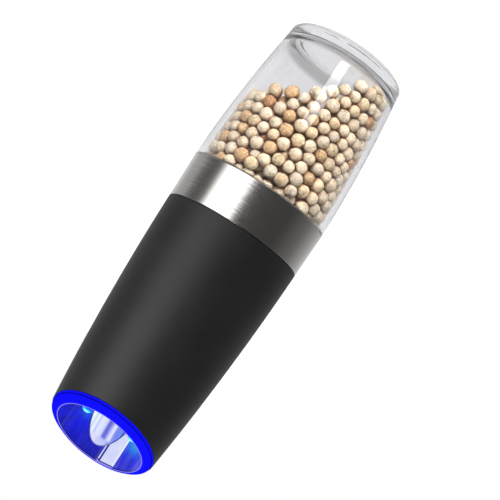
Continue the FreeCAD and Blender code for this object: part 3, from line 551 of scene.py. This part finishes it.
# ====================================================================================
# Peppercorns
# ====================================================================================
def jar_inner_radius(z):
    """Inside radius of the jar: rounded floor corner, swollen wall, bend into the mouth."""
    z = np.asarray(z)
    level = np.clip(z, JAR_FLOOR + JAR_CORNER, JAR_ROOF - JAR_ROOF_BEND)
    t = (level - HEEL_Z) / (SHOULDER_Z - HEEL_Z)
    wall = HEEL_R + (SHOULDER_R - HEEL_R) * t + 4 * BULGE * t * (1 - t) - JAR_WALL
    low = np.clip((level - z) / JAR_CORNER, 0.0, 1.0) * (z < level)
    high = np.clip((z - level) / JAR_ROOF_BEND, 0.0, 1.0) * (z > level)
    wall = JAR_FLOOR_R + (wall - JAR_FLOOR_R) * np.sqrt(1 - low ** 2)
    wall = wall - JAR_ROOF_BEND * (1 - np.sqrt(1 - high ** 2))
    return np.where(z > JAR_ROOF, NECK_BORE_R, wall)


def keep_inside(points, radii):
    """Moves the peppercorns out of the jar's wall and floor, the knob and the burr housing's cup.

    The housing's screw lugs, above its cup, aren't kept clear of."""
    points[:, 2] = np.clip(points[:, 2], JAR_FLOOR + radii + CORN_CLEARANCE, NECK_TOP - radii)
    across = np.hypot(points[:, 0], points[:, 1])
    slants = np.radians(np.arange(-75, 76, 15))
    room = [jar_inner_radius(points[:, 2] + radii * math.sin(a)) - radii * math.cos(a)
            for a in slants]
    limit = np.min(room, axis=0) - CORN_CLEARANCE
    inner = np.zeros(len(points))
    at_cup = points[:, 2] > CUP_Z - radii * 0.6
    at_knob = (points[:, 2] > KNOB_Z - radii * 0.6) & ~at_cup
    inner[at_cup] = CUP_R + radii[at_cup]
    inner[at_knob] = KNOB_R + radii[at_knob]
    target = np.minimum(np.maximum(across, inner), limit)
    scale = target / np.maximum(across, 1e-6)
    points[:, 0] *= scale
    points[:, 1] *= scale


def neighbours(points, radii, margin):
    """Pairs of spheres that are near enough to touch soon."""
    square = (points ** 2).sum(axis=1)
    apart = square[:, None] + square[None, :] - 2 * points @ points.T
    reach = radii[:, None] + radii[None, :] + margin
    return np.nonzero(np.triu(apart < reach ** 2, 1))


def settle(count, down):
    """Drops spheres in the jar along a direction, pushing them apart at every step."""
    rng = np.random.default_rng(SEED)
    radii = rng.uniform(*CORN_R, count)
    turn = rng.uniform(0, 2 * math.pi, count)
    reach = np.sqrt(rng.uniform(0, 1, count)) * SPAWN_R
    height = rng.uniform(*SPAWN_Z, count)
    points = np.column_stack([reach * np.cos(turn), reach * np.sin(turn), height])
    for step in range(SETTLE_STEPS):
        if step % STEPS_PER_SEARCH == 0:
            first, second = neighbours(points, radii, 3.0 * MM)
            touch = (radii[first] + radii[second]) * 0.985
        points += np.array(down) * (FALL_FIRST * (1 - step / SETTLE_STEPS) + FALL_LAST)
        for _ in range(PUSHES_PER_STEP):
            gap = points[first] - points[second]
            distance = np.sqrt((gap ** 2).sum(axis=1)) + 1e-9
            push = gap * (np.clip(touch - distance, 0.0, None) / distance * 0.42)[:, None]
            for axis in range(3):
                points[:, axis] += np.bincount(first, push[:, axis], count)
                points[:, axis] -= np.bincount(second, push[:, axis], count)
            keep_inside(points, radii)
    return points, radii, rng


def corn_shape(index):
    """Unit peppercorn: a ball with low ridges and a small pit, every third with a beak."""
    bm = bmesh.new()
    bmesh.ops.create_icosphere(bm, subdivisions=CORN_DETAIL, radius=1.0)
    offset = Vector((index * 7.3, index * 3.1, index * 1.7))
    for vertex in bm.verts:
        direction = vertex.co.normalized()
        ridge = 1.0 - abs(noise.noise(direction * 2.9 + offset)) * 3.0
        lump = noise.noise(direction * 1.2 + offset)
        pit = math.exp(-((1.0 - direction.z) / 0.035) ** 2)
        beak = math.exp(-((1.0 + direction.z) / 0.05) ** 2)
        vertex.co = direction * (0.97 + 0.04 * ridge + 0.08 * lump - 0.14 * pit
                                 + 0.10 * beak * (index % 3 == 0))
        vertex.co.z *= 0.96
    points = np.array([v.co[:] for v in bm.verts])
    faces = np.array([[v.index for v in f.verts] for f in bm.faces])
    pits = np.array([math.exp(-((1.0 - v.co.normalized().z) / 0.02) ** 2) for v in bm.verts])
    bm.free()
    return points, faces, pits


def random_turn(rng):
    """Random rotation matrix."""
    axis = Vector(rng.normal(size=3)).normalized()
    return np.array(Matrix.Rotation(rng.uniform(0, 2 * math.pi), 3, axis))


def corn_tint(rng):
    """Cream, tan or brown."""
    kind = rng.uniform()
    if kind < 0.58:
        base = srgb(232, 216, 188)
    elif kind < 0.78:
        base = srgb(224, 204, 166)
    elif kind < 0.88:
        base = srgb(226, 214, 192)
    elif kind < 0.96:
        base = srgb(206, 170, 124)
    else:
        base = srgb(188, 136, 86)
    return np.array(base) * rng.uniform(0.64, 0.84)


def peppercorns():
    """One mesh of the peppercorns near the jar's wall, its floor or the heap's surface."""
    rotation = camera_rotation()
    down = rotation @ Vector((math.sin(HEAP_TILT), -math.cos(HEAP_TILT), 0))
    points, radii, rng = settle(CORN_COUNT, down)
    shapes = [corn_shape(i) for i in range(CORN_SHAPES)]
    depth_along = points @ np.array(down)
    surface = np.percentile(depth_along, 3)
    across = np.hypot(points[:, 0], points[:, 1])
    near_wall = across > jar_inner_radius(points[:, 2]) - SEEN_DEPTH
    near_top = depth_along < surface + SEEN_DEPTH_ON_TOP
    near_floor = points[:, 2] < JAR_FLOOR + SEEN_DEPTH
    vertices, faces, tints = [], [], []
    start = 0
    for i in np.flatnonzero(near_wall | near_top | near_floor):
        shape, triangles, pits = shapes[i % CORN_SHAPES]
        vertices.append(shape @ random_turn(rng).T * radii[i] + points[i])
        faces.append(triangles + start)
        tint = corn_tint(rng)
        dark = np.array((0.10, 0.06, 0.04))
        tints.append(tint[None, :] * (1 - pits[:, None]) + dark[None, :] * pits[:, None])
        start += len(shape)
    mesh = bpy.data.meshes.new("peppercorns")
    mesh.from_pydata(np.vstack(vertices).tolist(), [], np.vstack(faces).tolist())
    colours = mesh.color_attributes.new("tint", "FLOAT_COLOR", "POINT")
    flat = np.column_stack([np.vstack(tints), np.ones(start)]).astype(np.float32)
    colours.data.foreach_set("color", flat.ravel())
    mesh.polygons.foreach_set("use_smooth", [True] * len(mesh.polygons))
    mesh.materials.append(peppercorn())
    heap = bpy.data.objects.new("peppercorns", mesh)
    bpy.context.scene.collection.objects.link(heap)
    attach(heap, "jar")


def burr_coil():
    """Burr spring as a coil of wire, in place of the CAD spring."""
    steps, sides = COIL_STEPS, COIL_SIDES
    climb = COIL_TOP - COIL_FOOT - 2 * COIL_WIRE
    vertices = []
    for i in range(steps + 1):
        turn = 2 * math.pi * COIL_TURNS * i / steps
        for j in range(sides):
            around = 2 * math.pi * (j + 0.5) / sides
            radius = COIL_R + COIL_WIRE * math.cos(around)
            height = COIL_FOOT + COIL_WIRE + climb * i / steps + COIL_WIRE * math.sin(around)
            vertices.append((radius * math.cos(turn), radius * math.sin(turn), height))
    faces = [tuple(range(sides))[::-1], tuple(range(steps * sides, (steps + 1) * sides))]
    for i in range(steps):
        for j in range(sides):
            k = (j + 1) % sides
            faces.append((i * sides + j, i * sides + k, (i + 1) * sides + k, (i + 1) * sides + j))
    mesh = bpy.data.meshes.new("burr_coil")
    mesh.from_pydata(vertices, [], faces)
    mesh.materials.append(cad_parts["burr_spring"].material_slots[0].material)
    coil = bpy.data.objects.new("burr_coil", mesh)
    bpy.context.scene.collection.objects.link(coil)
    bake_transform(coil)
    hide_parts("burr_spring")


# ====================================================================================
# Camera, light and floor
# ====================================================================================
def camera_rotation():
    """Rotation of the camera: aimed, then rolled."""
    forward = (CAMERA_AIM - CAMERA_PLACE).normalized()
    level = forward.cross(Vector((0, 0, 1))).normalized()
    upright = level.cross(forward)
    up = upright * math.cos(CAMERA_ROLL) + level * math.sin(CAMERA_ROLL)
    right = forward.cross(up)
    return Matrix((right, up, -forward)).transposed()


def camera():
    """Long lens, well back, as in the photograph."""
    data = bpy.data.cameras.new("camera")
    data.lens = CAMERA_LENS
    data.sensor_width = 36.0
    data.clip_start = 0.01
    eye = bpy.data.objects.new("camera", data)
    eye.matrix_world = Matrix.Translation(CAMERA_PLACE) @ camera_rotation().to_4x4()
    bpy.context.scene.collection.objects.link(eye)
    bpy.context.scene.camera = eye


def studio_world():
    """White to the camera, with a studio's panels in reflections and through the clear jar."""
    world = bpy.data.worlds.new("studio")
    world.use_nodes = True
    bpy.context.scene.world = world
    n = Nodes(world.node_tree)
    background = world.node_tree.nodes["Background"]
    direction = n.add("ShaderNodeTexCoord").outputs["Generated"]
    turned = n.add("ShaderNodeVectorRotate", {"Vector": direction, "Angle": -VIEW_AZIMUTH},
                   rotation_type="Z_AXIS").outputs[0]
    x, y, z = n.split(turned)
    around = n.math("MULTIPLY_ADD", n.math("ARCTAN2", y, x), 0.5 / math.pi, 0.5)

    def degrees(*stops):
        return [(angle / 360.0 + 0.5, level) for angle, level in stops]

    mirrored = n.curve(around, degrees(
        (-180, 0.95), (-150, 0.6), (-125, 0.38), (-100, 0.16), (-60, 0.04), (-20, 0.05),
        (12, 0.09), (15, 0.3), (20, SOFTBOX), (62, SOFTBOX), (68, 0.6), (73, 0.11), (92, 0.10),
        (104, 0.2), (112, 0.42), (135, 0.5), (160, 0.85), (180, 0.95)))
    through = n.curve(around, degrees(
        (-180, WALL_LIGHT), (-135, WALL_LIGHT), (-118, 0.42), (-100, 0.15), (60, 0.2),
        (100, 0.35), (125, 0.7), (140, WALL_LIGHT), (180, WALL_LIGHT)))
    darkening = n.math("MULTIPLY_ADD", n.between(z, -0.25, -0.5), -0.45, 1.0)
    through = n.math("MULTIPLY", through, darkening)
    through = n.mix(1.0, through, (0.99, 0.985, 1.02, 1.0), "MULTIPLY")
    below = n.between(z, -0.15, -0.21)
    mirrored = n.math("MINIMUM", mirrored, n.math("MULTIPLY_ADD", below, SOFTBOX_DROP, SOFTBOX))
    path = n.add("ShaderNodeLightPath").outputs
    level = n.mix(path["Is Glossy Ray"], grey(1.0), mirrored)
    level = n.mix(path["Is Transmission Ray"], level, through)
    level = n.mix(path["Is Diffuse Ray"], level, grey(AMBIENT))
    n.put(background.inputs["Color"], n.mix(path["Is Camera Ray"], level, grey(1.0)))
    background.inputs["Strength"].default_value = 1.0


def area_light(name, place, aim, size, power):
    """Rectangular light that doesn't show in reflections."""
    data = bpy.data.lights.new(name, "AREA")
    data.shape = "RECTANGLE"
    data.size, data.size_y = size
    data.energy = power
    lamp = bpy.data.objects.new(name, data)
    place = Vector(place)
    turn = (Vector(aim) - place).to_track_quat("-Z", "Y")
    lamp.matrix_world = Matrix.Translation(place) @ turn.to_matrix().to_4x4()
    lamp.visible_glossy = False
    bpy.context.scene.collection.objects.link(lamp)


def floor():
    """Plain pale floor, which only the camera sees and which casts no shadow."""
    mesh = bpy.data.meshes.new("floor")
    reach = FLOOR_REACH
    corners = [(-reach, -reach, 0), (reach, -reach, 0), (reach, reach, 0), (-reach, reach, 0)]
    mesh.from_pydata(corners, [], [(0, 1, 2, 3)])
    mat, n, s = material("pale_floor")
    tone = n.noise(n.place(), 3.0, 2.0)
    n.put(s.inputs["Base Color"], n.ramp(tone, [(0.3, grey(0.86)), (0.7, grey(0.88))]))
    s.inputs["Roughness"].default_value = 0.7
    s.inputs["Emission Color"].default_value = grey(1.0)
    s.inputs["Emission Strength"].default_value = 0.4
    mesh.materials.append(mat)
    sheet = bpy.data.objects.new("floor", mesh)
    sheet.visible_glossy = False
    sheet.visible_transmission = False
    sheet.visible_diffuse = False
    sheet.visible_shadow = False
    bpy.context.scene.collection.objects.link(sheet)


def studio():
    floor()
    studio_world()
    sun = bpy.data.lights.new("overhead", "SUN")
    sun.energy = 2.1
    sun.angle = math.radians(28)
    lamp = bpy.data.objects.new("overhead", sun)
    lamp.location = (0.0, 0.0, 1.0)
    lamp.visible_glossy = False
    bpy.context.scene.collection.objects.link(lamp)
    area_light("key", (1.3, -0.9, 0.10), JAR_MIDDLE, (0.5, 0.3), 3.0)
    area_light("fill", (-0.15, -1.14, -0.62), JAR_MIDDLE, (0.4, 0.4), 14.0)


# ====================================================================================
bpy.context.scene.view_settings.view_transform = "Standard"
camera()
studio()
dress_frame()
burr_coil()
peppercorns()
